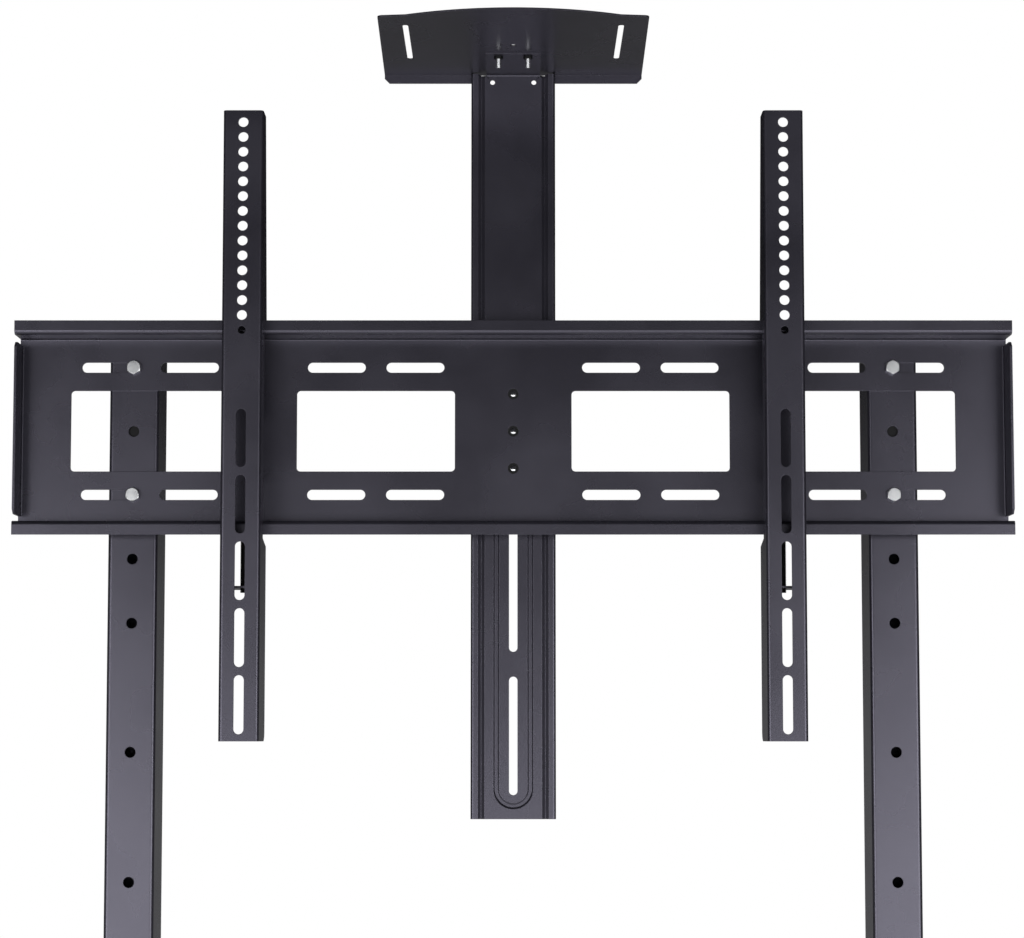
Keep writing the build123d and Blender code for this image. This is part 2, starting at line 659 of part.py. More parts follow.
# Legs: tubes with welded nuts for the posts' feet on top and for the caster stems below
leg_bottom = caster_height
caster_spacing_y = leg_length - 2 * stem_from_leg_end
stem_places = GridLocations(0, caster_spacing_y, 1, 2)
for side, sign in sides.items():
    with BuildPart() as leg:
        with BuildSketch(Plane(origin=(sign * post_x, -leg_length / 2, leg_bottom + leg_height / 2),
                               x_dir=(1, 0, 0), z_dir=(0, 1, 0))):
            tube_section(leg_width, leg_height, leg_wall, leg_corner_radius)
        extrude(amount=leg_length)
        with BuildSketch(Plane(origin=(sign * post_x, 0, leg_top - leg_wall))):
            with foot_bolt_places:
                RegularPolygon(bolt8_head_width / 2, 6, major_radius=False)
        extrude(amount=-bolt8_nut_height)
        with BuildSketch(Plane(origin=(sign * post_x, 0, leg_top))):
            with foot_bolt_places:
                Circle(bolt8_diameter / 2 + thread_clearance)
        extrude(amount=-(leg_wall + bolt8_nut_height), mode=Mode.SUBTRACT)
        with BuildSketch(Plane(origin=(sign * post_x, 0, leg_bottom + leg_wall))):
            with stem_places:
                RegularPolygon(stem_nut_width / 2, 6, major_radius=False)
        extrude(amount=stem_nut_height)
        with BuildSketch(Plane(origin=(sign * post_x, 0, leg_bottom))):
            with stem_places:
                Circle(stem_diameter / 2 + thread_clearance)
        extrude(amount=leg_wall + stem_nut_height, mode=Mode.SUBTRACT)
    leg.part.label = f"{side}_leg"
    export_step(leg.part, f"parts/{side}_leg.step")

# Plastic caps in the ends of the legs
for end, way in ends.items():
    for side, sign in sides.items():
        with BuildPart() as leg_cap:
            with BuildSketch(Plane(origin=(sign * post_x, way * leg_length / 2, leg_bottom + leg_height / 2),
                                   x_dir=(1, 0, 0), z_dir=(0, way, 0))):
                RectangleRounded(leg_width, leg_height, leg_corner_radius)
            extrude(amount=leg_cap_thickness)
            fillet(leg_cap.faces().sort_by(Axis.Y)[0 if way < 0 else -1].edges(), leg_cap_thickness * 0.4)
            with BuildSketch(Plane(origin=(sign * post_x, way * leg_length / 2, leg_bottom + leg_height / 2),
                                   x_dir=(1, 0, 0), z_dir=(0, way, 0))):
                tube_section(leg_width - 2 * leg_wall - 2 * cap_clearance,
                             leg_height - 2 * leg_wall - 2 * cap_clearance,
                             cap_plug_wall, leg_corner_radius - leg_wall)
            extrude(amount=-leg_cap_plug_depth)
        leg_cap.part.label = f"{end}_{side}_leg_cap"
        export_step(leg_cap.part, f"parts/{end}_{side}_leg_cap.step")

# Bolts that hold the posts' feet to the legs
foot_bolt_seat = leg_top + foot_thickness
with BuildPart() as foot_bolts:
    for sign in (-1, 1):
        with BuildSketch(Plane(origin=(sign * post_x, 0, foot_bolt_seat))):
            with foot_bolt_places:
                RegularPolygon(bolt8_head_width / 2, 6, major_radius=False)
        extrude(amount=bolt8_head_height)
        with BuildSketch(Plane(origin=(sign * post_x, 0, foot_bolt_seat))):
            with foot_bolt_places:
                Circle(bolt8_diameter / 2)
        extrude(amount=-foot_bolt_length)
foot_bolts.part.label = "foot_bolts"
export_step(foot_bolts.part, "parts/foot_bolts.step")

# Crossbar between the posts, with a welded plate at each end
crossbar_end_x = post_x - post_width / 2
crossbar_tube_end_x = crossbar_end_x - crossbar_plate_thickness
with BuildPart() as crossbar:
    with BuildSketch(Plane(origin=(-crossbar_tube_end_x, 0, crossbar_centre_height),
                           x_dir=(0, 1, 0), z_dir=(1, 0, 0))):
        tube_section(crossbar_depth, crossbar_height, crossbar_wall, post_corner_radius)
    extrude(amount=2 * crossbar_tube_end_x)
    for sign in (-1, 1):
        with BuildSketch(Plane(origin=(sign * crossbar_end_x, 0, crossbar_centre_height),
                               x_dir=(0, 1, 0), z_dir=(-sign, 0, 0))):
            RectangleRounded(post_depth - 2 * post_corner_radius, crossbar_plate_height, post_corner_radius)
            with Locations((0, -crossbar_bolt_spacing / 2), (0, crossbar_bolt_spacing / 2)):
                Circle(bolt8_diameter / 2 + clearance_hole_play, mode=Mode.SUBTRACT)
        extrude(amount=crossbar_plate_thickness)
crossbar.part.label = "crossbar"
export_step(crossbar.part, "parts/crossbar.step")

with BuildPart() as crossbar_bolts:
    for sign in (-1, 1):
        head_plane = Plane(origin=(sign * crossbar_tube_end_x, 0, crossbar_centre_height),
                           x_dir=(0, 1, 0), z_dir=(-sign, 0, 0))
        with BuildSketch(head_plane):
            with Locations((0, -crossbar_bolt_spacing / 2), (0, crossbar_bolt_spacing / 2)):
                RegularPolygon(bolt8_head_width / 2, 6, major_radius=False)
        extrude(amount=bolt8_head_height)
        with BuildSketch(head_plane):
            with Locations((0, -crossbar_bolt_spacing / 2), (0, crossbar_bolt_spacing / 2)):
                Circle(bolt8_diameter / 2)
        extrude(amount=-crossbar_bolt_length)
crossbar_bolts.part.label = "crossbar_bolts"
export_step(crossbar_bolts.part, "parts/crossbar_bolts.step")

# Casters, one under each end of both legs, with their wheels trailing outwards
wheel_radius = wheel_diameter / 2
rim_radius = wheel_rim_diameter / 2
fork_inner_half = wheel_width / 2 + fork_side_gap
fork_outer_half = fork_inner_half + fork_thickness
fork_top = fork_top_height + fork_thickness
collar_bottom = caster_height - stem_collar_height
race_low = fork_top + race_edge_gap
kingpin_head_top = fork_top_height - kingpin_head_gap
brake_shoe_radius = wheel_radius + brake_shoe_gap


def caster_places():
    """Name, corner's x and y, which way its wheel trails, and which side of that plane is outside."""
    for end, way in ends.items():
        for side, sign in sides.items():
            yield f"{end}_{side}", sign * post_x, way * caster_spacing_y / 2, way, sign * way


def wheel_plane(x, y, way):
    """Upright plane through the wheel's centre: drawn in trailing distance and height."""
    return Plane(origin=(x, y + way * caster_trail, wheel_radius), x_dir=(0, way, 0), z_dir=(way, 0, 0))


for place, x, y, way, outside in caster_places():
    # Stem: thread, collar, dust cap over the bearing and a riveted kingpin, turned about the swivel axis
    with BuildPart() as stem:
        with BuildSketch(Plane(origin=(x, y, 0), x_dir=(1, 0, 0), z_dir=(0, -1, 0))):
            with BuildLine():
                Polyline(
                    (0, kingpin_head_top - kingpin_head_height),
                    (kingpin_head_diameter / 2, kingpin_head_top - kingpin_head_height),
                    (kingpin_head_diameter / 2, kingpin_head_top), (kingpin_diameter / 2, kingpin_head_top),
                    (kingpin_diameter / 2, collar_bottom - race_wall),
                    (race_diameter / 2 - 2 * race_wall, collar_bottom - race_wall),
                    (race_diameter / 2 - race_wall, collar_bottom - 2 * race_wall),
                    (race_diameter / 2 - race_wall, race_low), (race_diameter / 2, race_low),
                    (race_diameter / 2, collar_bottom - 1.5 * race_wall),
                    (race_diameter / 2 - 1.5 * race_wall, collar_bottom),
                    (stem_diameter / 2, collar_bottom), (stem_diameter / 2, caster_height + stem_length),
                    (0, caster_height + stem_length), close=True)
            make_face()
        revolve(axis=Axis((x, y, 0), (0, 0, 1)))
        with BuildSketch(Plane(origin=(x, y, collar_bottom))):
            RegularPolygon(stem_collar_width / 2, 6, major_radius=False)
        extrude(amount=stem_collar_height)
    stem.part.label = f"{place}_caster_stem"
    export_step(stem.part, f"parts/{place}_caster_stem.step")

    # Fork: a pressed top with a leg on each side of the wheel, and ears for the brake's pivot
    with BuildPart() as fork:
        with BuildSketch(wheel_plane(x, y, way)):
            with Locations((0, 0)):
                Circle(fork_foot_radius)
            with Locations((brake_pivot_back, brake_pivot_up)):
                Circle(brake_boss_radius)
            with Locations((-caster_trail, fork_top - wheel_radius - fork_bend_radius)):
                Rectangle(2 * fork_outer_half, 2 * fork_bend_radius)
            make_hull()
        extrude(amount=fork_outer_half, both=True)
        with BuildSketch(Plane(origin=(x, y, 0))):
            Rectangle(2 * fork_inner_half, 8 * fork_disc_diameter)
        extrude(amount=fork_top_height, mode=Mode.SUBTRACT)
        with BuildSketch(Plane(origin=(x, y, fork_top_height))):
            Circle(fork_disc_diameter / 2)
        extrude(amount=fork_thickness)
        with BuildSketch(Plane(origin=(x, y, fork_top_height))):
            with Locations((0, way * (fork_disc_diameter / 2 + fork_foot_radius))):
                Rectangle(2 * fork_inner_half, 2 * fork_foot_radius)
        extrude(amount=2 * fork_thickness, mode=Mode.SUBTRACT)
        with BuildSketch(Plane(origin=(x, y, fork_top))):
            Circle(kingpin_diameter / 2 + running_clearance)
        extrude(amount=-fork_thickness, mode=Mode.SUBTRACT)
        with BuildSketch(wheel_plane(x, y, way)):
            Circle(bolt8_diameter / 2 + running_clearance)
            with Locations((brake_pivot_back, brake_pivot_up)):
                Circle(brake_pivot_diameter / 2 + running_clearance)
        extrude(amount=fork_outer_half, both=True, mode=Mode.SUBTRACT)
    fork.part.label = f"{place}_caster_fork"
    export_step(fork.part, f"parts/{place}_caster_fork.step")

    # Axle bolt with its nut
    with BuildPart() as axle:
        with BuildSketch(wheel_plane(x, y, way).offset(outside * fork_outer_half)):
            Circle(bolt8_diameter / 2)
        extrude(amount=-outside * (2 * fork_outer_half + bolt8_nut_height + bolt_end_proud))
        with BuildSketch(wheel_plane(x, y, way).offset(outside * fork_outer_half)):
            RegularPolygon(bolt8_head_width / 2, 6, major_radius=False)
        extrude(amount=outside * bolt8_head_height)
        with BuildSketch(wheel_plane(x, y, way).offset(-outside * fork_outer_half)):
            RegularPolygon(bolt8_head_width / 2, 6, major_radius=False)
        extrude(amount=-outside * bolt8_nut_height)
    axle.part.label = f"{place}_caster_axle"
    export_step(axle.part, f"parts/{place}_caster_axle.step")

    # Wheel: boss, web and rim, turned about the axle
    wheel_axis = Axis((x, y + way * caster_trail, wheel_radius), (1, 0, 0))
    wheel_section = Plane(origin=(x, y + way * caster_trail, wheel_radius), x_dir=(1, 0, 0), z_dir=(0, -1, 0))
    boss_half = fork_inner_half - wheel_side_clearance
    with BuildPart() as wheel:
        with BuildSketch(wheel_section):
            with BuildLine():
                bore = bolt8_diameter / 2 + running_clearance
                boss_radius = wheel_boss_diameter / 2
                web_half = wheel_web_thickness / 2
                rim_half = wheel_width / 2
                rim_inner = rim_radius - wheel_rim_thickness
                right = [(boss_half, bore), (boss_half, boss_radius - 1.5), (boss_half - 1.5, boss_radius),
                         (web_half + 1, boss_radius + 1), (web_half, boss_radius + 3),
                         (web_half, rim_inner - 2), (rim_half, rim_inner), (rim_half, rim_radius)]
                left = [(-across, out) for across, out in reversed(right)]
                Polyline(*right, *left, close=True)
            make_face()
        revolve(axis=wheel_axis)
    wheel.part.label = f"{place}_wheel"
    export_step(wheel.part, f"parts/{place}_wheel.step")

    # Tyre bonded round the rim
    with BuildPart() as tyre:
        with BuildSketch(wheel_section) as tyre_sketch:
            with Locations((0, (rim_radius + clinch_clearance + wheel_radius) / 2)):
                Rectangle(wheel_width, wheel_radius - rim_radius - clinch_clearance)
            fillet(tyre_sketch.vertices().group_by(Axis.Y)[-1], tyre_edge_radius)
        revolve(axis=wheel_axis)
    tyre.part.label = f"{place}_tyre"
    export_step(tyre.part, f"parts/{place}_tyre.step")

    # Brake pedal: a moulded lever on two stub pins, with a shoe above the tyre and a foot pad behind
    with BuildPart() as brake:
        with BuildSketch(wheel_plane(x, y, way)):
            with BuildLine():
                shoe_angles = (62, 50, 38)
                shoe = [(brake_shoe_radius * cos(radians(a)), brake_shoe_radius * sin(radians(a)))
                        for a in shoe_angles]
                ThreePointArc(*shoe)
                Polyline(shoe[2], (shoe[2][0] + 4, shoe[2][1] + 2.5), (46, 33.5), (62, 25.5), (64.5, 29),
                         (46, 43), (brake_pivot_back, brake_pivot_up + brake_boss_radius),
                         (brake_pivot_back - brake_boss_radius, brake_pivot_up), shoe[0])
            make_face()
        extrude(amount=brake_width / 2, both=True)
        with BuildSketch(wheel_plane(x, y, way)):
            with Locations((brake_pivot_back, brake_pivot_up)):
                Circle(brake_pivot_diameter / 2)
        extrude(amount=fork_outer_half, both=True)
    brake.part.label = f"{place}_brake_pedal"
    export_step(brake.part, f"parts/{place}_brake_pedal.step")

# Ball rings between each dust cap and fork
with BuildPart() as swivel_bearings:
    for place, x, y, way, outside in caster_places():
        with BuildSketch(Plane(origin=(x, y, fork_top + running_clearance))):
            Circle((bearing_ring_diameter + bearing_ring_width) / 2)
            Circle((bearing_ring_diameter - bearing_ring_width) / 2, mode=Mode.SUBTRACT)
        extrude(amount=collar_bottom - race_wall - fork_top - running_clearance)
swivel_bearings.part.label = "swivel_bearings"
export_step(swivel_bearings.part, "parts/swivel_bearings.step")
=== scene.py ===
import json
from math import cos, pi, radians

import bpy
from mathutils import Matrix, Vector


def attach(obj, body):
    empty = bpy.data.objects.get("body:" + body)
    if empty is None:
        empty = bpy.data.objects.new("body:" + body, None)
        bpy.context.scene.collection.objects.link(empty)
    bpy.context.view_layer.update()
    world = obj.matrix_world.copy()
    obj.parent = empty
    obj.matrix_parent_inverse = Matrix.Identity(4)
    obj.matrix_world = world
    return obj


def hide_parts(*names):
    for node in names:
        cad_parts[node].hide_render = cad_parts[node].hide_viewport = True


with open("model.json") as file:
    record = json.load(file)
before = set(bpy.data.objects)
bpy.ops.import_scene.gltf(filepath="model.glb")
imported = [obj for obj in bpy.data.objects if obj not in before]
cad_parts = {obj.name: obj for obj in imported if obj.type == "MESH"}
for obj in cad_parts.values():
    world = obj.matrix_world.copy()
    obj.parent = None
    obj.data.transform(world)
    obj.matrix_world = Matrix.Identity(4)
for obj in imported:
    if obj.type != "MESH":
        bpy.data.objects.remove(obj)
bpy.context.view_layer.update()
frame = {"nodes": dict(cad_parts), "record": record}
print("frame loaded:", len(frame["nodes"]), "nodes")

# values shared by the pieces, in metres
mm = 0.001
near = 0.01 * mm  # points this close count as one
postX = 385.5 * mm
plateZ = 1400 * mm
plateFaceY = -32.5 * mm
crossbarZ = 250 * mm

cameraLook = {"lens": 85.0, "sensor": 36.0, "place": (-0.00125, -2.471, 1.0923), "pitchDeg": 4.354,
              "shiftY": 0.08}

cameraData = bpy.data.cameras.new("camera")
cameraData.lens = cameraLook["lens"]
cameraData.sensor_width = cameraLook["sensor"]
cameraData.shift_y = cameraLook["shiftY"]
camera = bpy.data.objects.new("camera", cameraData)
camera.location = cameraLook["place"]
camera.rotation_euler = (radians(90 + cameraLook["pitchDeg"]), 0, 0)
bpy.context.collection.objects.link(camera)
bpy.context.scene.camera = camera
bpy.context.scene.view_settings.view_transform = "Standard"
print("camera set")

# materials: what all finishes share, then one dictionary for each finish
# the edge values below paint a pale highlight onto sharp edges, with a strength given in each finish
patternLook = {"patchFrom": 0.35, "patchTo": 0.68, "patchDetail": 4.0, "grainDetail": 2.0,
               "bumpHeight": 0.4 * mm, "edgeSamples": 4, "edgeHighlightFrom": 0.995, "edgeHighlightTo": 0.80,
               "edgeHighlightColor": (0.5, 0.5, 0.52)}
coatLook = {"color": (0.0110, 0.0104, 0.0145), "pale": (0.0145, 0.0138, 0.0190), "metallic": 0.0,
            "roughness": (0.24, 0.31), "grain": 900.0, "bump": 0.10, "edge": 0.0006, "edgeHighlightStrength": 0.04,
            "patch": 9.0, "coat": 0.0, "tint": (0.84, 0.81, 1.0), "ior": 1.82}
zincLook = {"color": (0.56, 0.57, 0.59), "pale": (0.70, 0.71, 0.72), "metallic": 1.0,
            "roughness": (0.24, 0.38), "grain": 1600.0, "bump": 0.05, "edge": 0.0003, "edgeHighlightStrength": 0.10,
            "patch": 60.0, "coat": 0.0}
blackSteelLook = {"color": (0.0040, 0.0040, 0.0045), "pale": (0.008, 0.008, 0.009), "metallic": 0.0,
                  "roughness": (0.46, 0.58), "grain": 1500.0, "bump": 0.06, "edge": 0.0003, "edgeHighlightStrength": 0.12,
                  "patch": 80.0, "coat": 0.0, "ior": 1.28}
plasticLook = {"color": (0.014, 0.014, 0.015), "pale": (0.020, 0.020, 0.021), "metallic": 0.0,
               "roughness": (0.52, 0.64), "grain": 2200.0, "bump": 0.16, "edge": 0.0005, "edgeHighlightStrength": 0.03,
               "patch": 30.0, "coat": 0.0}
wheelLook = {"color": (0.070, 0.071, 0.074), "pale": (0.092, 0.093, 0.096), "metallic": 0.0,
             "roughness": (0.42, 0.52), "grain": 2000.0, "bump": 0.08, "edge": 0.0005, "edgeHighlightStrength": 0.05,
             "patch": 30.0, "coat": 0.0}
tyreLook = {"color": (0.030, 0.030, 0.031), "pale": (0.044, 0.044, 0.045), "metallic": 0.0,
            "roughness": (0.66, 0.80), "grain": 1300.0, "bump": 0.20, "edge": 0.0006, "edgeHighlightStrength": 0.03,
            "patch": 45.0, "coat": 0.0}
brakeLook = {"color": (0.010, 0.010, 0.011), "pale": (0.016, 0.016, 0.017), "metallic": 0.0,
             "roughness": (0.30, 0.40), "grain": 1800.0, "bump": 0.05, "edge": 0.0005, "edgeHighlightStrength": 0.04,
             "patch": 30.0, "coat": 0.1}


def addNode(tree, kind, **values):
    made = tree.nodes.new(kind)
    for name, value in values.items():
        setattr(made, name, value)
    return made


def surface(name, look):
    material = bpy.data.materials.new(name)
    material.use_nodes = True
    tree = material.node_tree
    shader = tree.nodes["Principled BSDF"]
    shader.inputs["Metallic"].default_value = look["metallic"]
    shader.inputs["Coat Weight"].default_value = look["coat"]
    shader.inputs["IOR"].default_value = look.get("ior", 1.5)
    shader.inputs["Specular Tint"].default_value = (*look.get("tint", (1, 1, 1)), 1)
    place = addNode(tree, "ShaderNodeTexCoord")

    patches = addNode(tree, "ShaderNodeTexNoise")
    patches.inputs["Scale"].default_value = look["patch"]
    patches.inputs["Detail"].default_value = patternLook["patchDetail"]
    tree.links.new(place.outputs["Object"], patches.inputs["Vector"])
    shades = addNode(tree, "ShaderNodeValToRGB")
    shades.color_ramp.elements[0].position = patternLook["patchFrom"]
    shades.color_ramp.elements[0].color = (*look["color"], 1)
    shades.color_ramp.elements[1].position = patternLook["patchTo"]
    shades.color_ramp.elements[1].color = (*look["pale"], 1)
    tree.links.new(patches.outputs["Fac"], shades.inputs["Fac"])

    gloss = addNode(tree, "ShaderNodeMapRange")
    gloss.inputs["From Min"].default_value = patternLook["patchFrom"]
    gloss.inputs["From Max"].default_value = patternLook["patchTo"]
    gloss.inputs["To Min"].default_value = look["roughness"][0]
    gloss.inputs["To Max"].default_value = look["roughness"][1]
    tree.links.new(patches.outputs["Fac"], gloss.inputs["Value"])
    tree.links.new(gloss.outputs["Result"], shader.inputs["Roughness"])

    # sharp edges get a rounded normal, and their colour is mixed towards a pale grey: a painted highlight where
    # they catch the light
    rounded = addNode(tree, "ShaderNodeBevel", samples=patternLook["edgeSamples"])
    rounded.inputs["Radius"].default_value = look["edge"]
    geometry = addNode(tree, "ShaderNodeNewGeometry")
    match = addNode(tree, "ShaderNodeVectorMath", operation="DOT_PRODUCT")
    tree.links.new(rounded.outputs["Normal"], match.inputs[0])
    tree.links.new(geometry.outputs["Normal"], match.inputs[1])
    edgeHighlightMix = addNode(tree, "ShaderNodeMapRange")
    edgeHighlightMix.inputs["From Min"].default_value = patternLook["edgeHighlightFrom"]
    edgeHighlightMix.inputs["From Max"].default_value = patternLook["edgeHighlightTo"]
    edgeHighlightMix.inputs["To Max"].default_value = look["edgeHighlightStrength"]
    tree.links.new(match.outputs["Value"], edgeHighlightMix.inputs["Value"])
    blend = addNode(tree, "ShaderNodeMix", data_type="RGBA")
    blend.inputs["B"].default_value = (*patternLook["edgeHighlightColor"], 1)
    tree.links.new(edgeHighlightMix.outputs["Result"], blend.inputs["Factor"])
    tree.links.new(shades.outputs["Color"], blend.inputs["A"])
    tree.links.new(blend.outputs["Result"], shader.inputs["Base Color"])

    grain = addNode(tree, "ShaderNodeTexNoise")
    grain.inputs["Scale"].default_value = look["grain"]
    grain.inputs["Detail"].default_value = patternLook["grainDetail"]
    tree.links.new(place.outputs["Object"], grain.inputs["Vector"])
    bump = addNode(tree, "ShaderNodeBump")
    bump.inputs["Strength"].default_value = look["bump"]
    bump.inputs["Distance"].default_value = patternLook["bumpHeight"]
    tree.links.new(grain.outputs["Fac"], bump.inputs["Height"])
    tree.links.new(rounded.outputs["Normal"], bump.inputs["Normal"])
    tree.links.new(bump.outputs["Normal"], shader.inputs["Normal"])
    return material


powderCoat = surface("powderCoat", coatLook)
zincPlate = surface("zincPlate", zincLook)
blackSteel = surface("blackSteel", blackSteelLook)
capPlastic = surface("capPlastic", plasticLook)
wheelPlastic = surface("wheelPlastic", wheelLook)
tyreRubber = surface("tyreRubber", tyreLook)
brakePlastic = surface("brakePlastic", brakeLook)
finishOfSlot = {"black_coating": powderCoat, "zinc_steel": zincPlate, "black_steel": blackSteel,
                "black_plastic": capPlastic, "wheel_plastic": wheelPlastic, "tyre_rubber": tyreRubber,
                "brake_plastic": brakePlastic}
slotOfNode = {part["node"]: part["material_slot"] for part in frame["record"]["subparts"]}


def dress(piece, material):
    if not piece.material_slots:
        piece.data.materials.append(material)
    for slot in piece.material_slots:
        slot.material = material


for name, piece in frame["nodes"].items():
    dress(piece, finishOfSlot[slotOfNode[name]])
print("materials on", len(frame["nodes"]), "nodes")


# tools for the new pieces
def clearSelection():
    if bpy.context.object and bpy.context.object.mode != "OBJECT":
        bpy.ops.object.mode_set(mode="OBJECT")
    bpy.ops.object.select_all(action="DESELECT")


def selectOnly(piece):
    clearSelection()
    piece.select_set(True)
    bpy.context.view_layer.objects.active = piece


def editAll():
    bpy.ops.object.mode_set(mode="EDIT")
    bpy.ops.mesh.select_all(action="SELECT")


def settle(piece, name):
    selectOnly(piece)
    bpy.ops.object.transform_apply(location=True, rotation=True, scale=True)
    piece.name = name
    return piece


def applyAll(piece):
    selectOnly(piece)
    for modifier in list(piece.modifiers):
        bpy.ops.object.modifier_apply(modifier=modifier.name)


def joined(pieces, name):
    clearSelection()
    for piece in pieces:
        piece.select_set(True)
    bpy.context.view_layer.objects.active = pieces[0]
    if len(pieces) > 1:
        bpy.ops.object.join()
    return settle(bpy.context.view_layer.objects.active, name)


def copied(piece, turn, place):
    twin = piece.copy()
    twin.data = piece.data.copy()
    bpy.context.collection.objects.link(twin)
    twin.rotation_euler = turn
    twin.location = place
    return settle(twin, piece.name)


def mergeSpecks(piece):
    # a boolean or a bevel leaves specks at its corners
    selectOnly(piece)
    editAll()
    bpy.ops.mesh.remove_doubles(threshold=near)
    bpy.ops.mesh.dissolve_degenerate(threshold=near)
    bpy.ops.object.mode_set(mode="OBJECT")


def cutWith(piece, tool, operation):
    cut = piece.modifiers.new("cut", "BOOLEAN")
    cut.operation = operation
    cut.object = tool
    cut.solver = "EXACT"
    applyAll(piece)
    bpy.data.objects.remove(tool, do_unlink=True)


# a cone turns a head's corners off: its width at the top and below, its rise for each metre out, its sides
headCone = {"crown": 0.97, "skirt": 3, "slope": 0.577, "sides": 48}


def hexHead(across, height):
    corner = across / 2 / cos(pi / 6)
    clearSelection()
    bpy.ops.mesh.primitive_cylinder_add(vertices=6, radius=corner, depth=height,
                                        location=(0, 0, height / 2), rotation=(0, 0, radians(30)))
    head = settle(bpy.context.object, "head")
    clearSelection()
    crown = across / 2 * headCone["crown"]
    skirt = corner * headCone["skirt"]
    coneDepth = (skirt - crown) * headCone["slope"]
    bpy.ops.mesh.primitive_cone_add(vertices=headCone["sides"], radius1=skirt, radius2=crown, depth=coneDepth,
                                    location=(0, 0, height - coneDepth / 2))
    cutWith(head, settle(bpy.context.object, "cone"), "INTERSECT")
    mergeSpecks(head)
    return head


# a thread's tooth, in pitches: its depth and both ends of its crest; then the turns below the rod's cut foot,
# the spare turns in all, the steps of a turn, and a rod's width for each metre of its hole's
thread = {"depth": 0.6134, "crestFrom": 0.40, "crestTo": 0.55, "below": 1.5, "spare": 3, "steps": 20,
          "slack": 0.985}


def threadedRod(size):
    pitch, length = size["pitch"], size["length"]
    outer = size["diameter"] * thread["slack"] / 2
    root = outer - thread["depth"] * pitch
    clearSelection()
    bpy.ops.mesh.primitive_plane_add(size=1)
    rod = bpy.context.object
    editAll()
    bpy.ops.mesh.delete(type="ONLY_FACE")
    bpy.ops.object.mode_set(mode="OBJECT")
    points = rod.data.vertices
    crestFrom, crestTo = thread["crestFrom"] * pitch, thread["crestTo"] * pitch
    profile = ((root, 0.0), (outer, crestFrom), (outer, crestTo), (root, pitch))
    for vertex, (out, up) in zip((points[0], points[1], points[3], points[2]), profile):
        vertex.co = (out, 0, up)
    bpy.ops.object.mode_set(mode="EDIT")
    bpy.ops.mesh.select_mode(type="EDGE")
    bpy.ops.mesh.select_all(action="DESELECT")
    bpy.ops.object.mode_set(mode="OBJECT")
    for edge in rod.data.edges:
        ends = {round(rod.data.vertices[index].co.z / pitch, 3) for index in edge.vertices}
        edge.select = ends == {0.0, 1.0}
    bpy.ops.object.mode_set(mode="EDIT")
    bpy.ops.mesh.delete(type="EDGE")
    bpy.ops.object.mode_set(mode="OBJECT")
    screw = rod.modifiers.new("screw", "SCREW")
    screw.axis = "Z"
    screw.screw_offset = pitch
    screw.iterations = int(length / pitch) + thread["spare"]
    screw.steps = screw.render_steps = size.get("steps", thread["steps"])
    screw.use_merge_vertices = True
    screw.merge_threshold = near / 10
    applyAll(rod)
    editAll()
    bpy.ops.mesh.remove_doubles(threshold=near / 5)
    foot = pitch * thread["below"]
    for height, inner, away in ((foot, True, False), (foot + length, False, True)):
        bpy.ops.mesh.select_all(action="SELECT")
        bpy.ops.mesh.bisect(plane_co=(0, 0, height), plane_no=(0, 0, 1), use_fill=True, threshold=near / 100,
                            clear_inner=inner, clear_outer=away)
    bpy.ops.mesh.select_all(action="SELECT")
    bpy.ops.transform.translate(value=(0, 0, -foot))
    bpy.ops.mesh.normals_make_consistent(inside=False)
    bpy.ops.object.mode_set(mode="OBJECT")
    rod.name = "rod"
    return rod


def bolted(head, size, seatZ):
    # a head on its threaded rod, which hangs down from the seat
    rod = threadedRod(size)
    rod.location = (0, 0, seatZ - size["length"])
    return joined([head, settle(rod, "rod")], "bolt")


# folded sheets: a merged copy of the node, with real rounds on its folds and cut edges
sheetLook = {"flatDeg": 0.5, "smoothDeg": 30, "faceWeight": 100}


def sheetOf(node, name):
    sheet = copied(frame["nodes"][node], (0, 0, 0), (0, 0, 0))
    sheet.name = name
    editAll()
    bpy.ops.mesh.remove_doubles(threshold=near / 5)
    bpy.ops.mesh.dissolve_limited(angle_limit=radians(sheetLook["flatDeg"]))
    bpy.ops.object.mode_set(mode="OBJECT")
    return sheet


def roundOff(sheet, bends):
    # the sheet's slanting folds get a wide round, its square edges a fine one
    facesAt = {edge.key: [] for edge in sheet.data.edges}
    for face in sheet.data.polygons:
        for key in face.edge_keys:
            facesAt[key].append(face.normal.copy())
    weights = sheet.data.attributes.new("bevel_weight_edge", "FLOAT", "EDGE")
    for edge in sheet.data.edges:
        normals = facesAt[edge.key]
        turn = normals[0].angle(normals[1]) if len(normals) == 2 else 0
        if turn > radians(bends["squareDeg"]):
            weights.data[edge.index].value = bends["edge"] / bends["bend"]
        elif turn > radians(bends["sharpDeg"]):
            weights.data[edge.index].value = 1.0
    bend = sheet.modifiers.new("bends", "BEVEL")
    bend.width = bends["bend"]
    bend.segments = bends["segments"]
    bend.limit_method = "WEIGHT"
    bend.miter_outer = "MITER_ARC"
    applyAll(sheet)
    if bends["specks"]:
        mergeSpecks(sheet)
    selectOnly(sheet)
    bpy.ops.object.shade_smooth_by_angle(angle=radians(sheetLook["smoothDeg"]))
    # the large faces stay flat beside the bends
    flatter = sheet.modifiers.new("flatter", "WEIGHTED_NORMAL")
    flatter.keep_sharp = True
    flatter.weight = sheetLook["faceWeight"]
    applyAll(sheet)
    print(sheet.name, "rounded,", len(sheet.data.polygons), "faces")


# a new piece takes a node's place, with its body and slot
def standFor(piece, node, body, slot):
    dress(piece, finishOfSlot[slot])
    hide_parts(node)
    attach(piece, body)


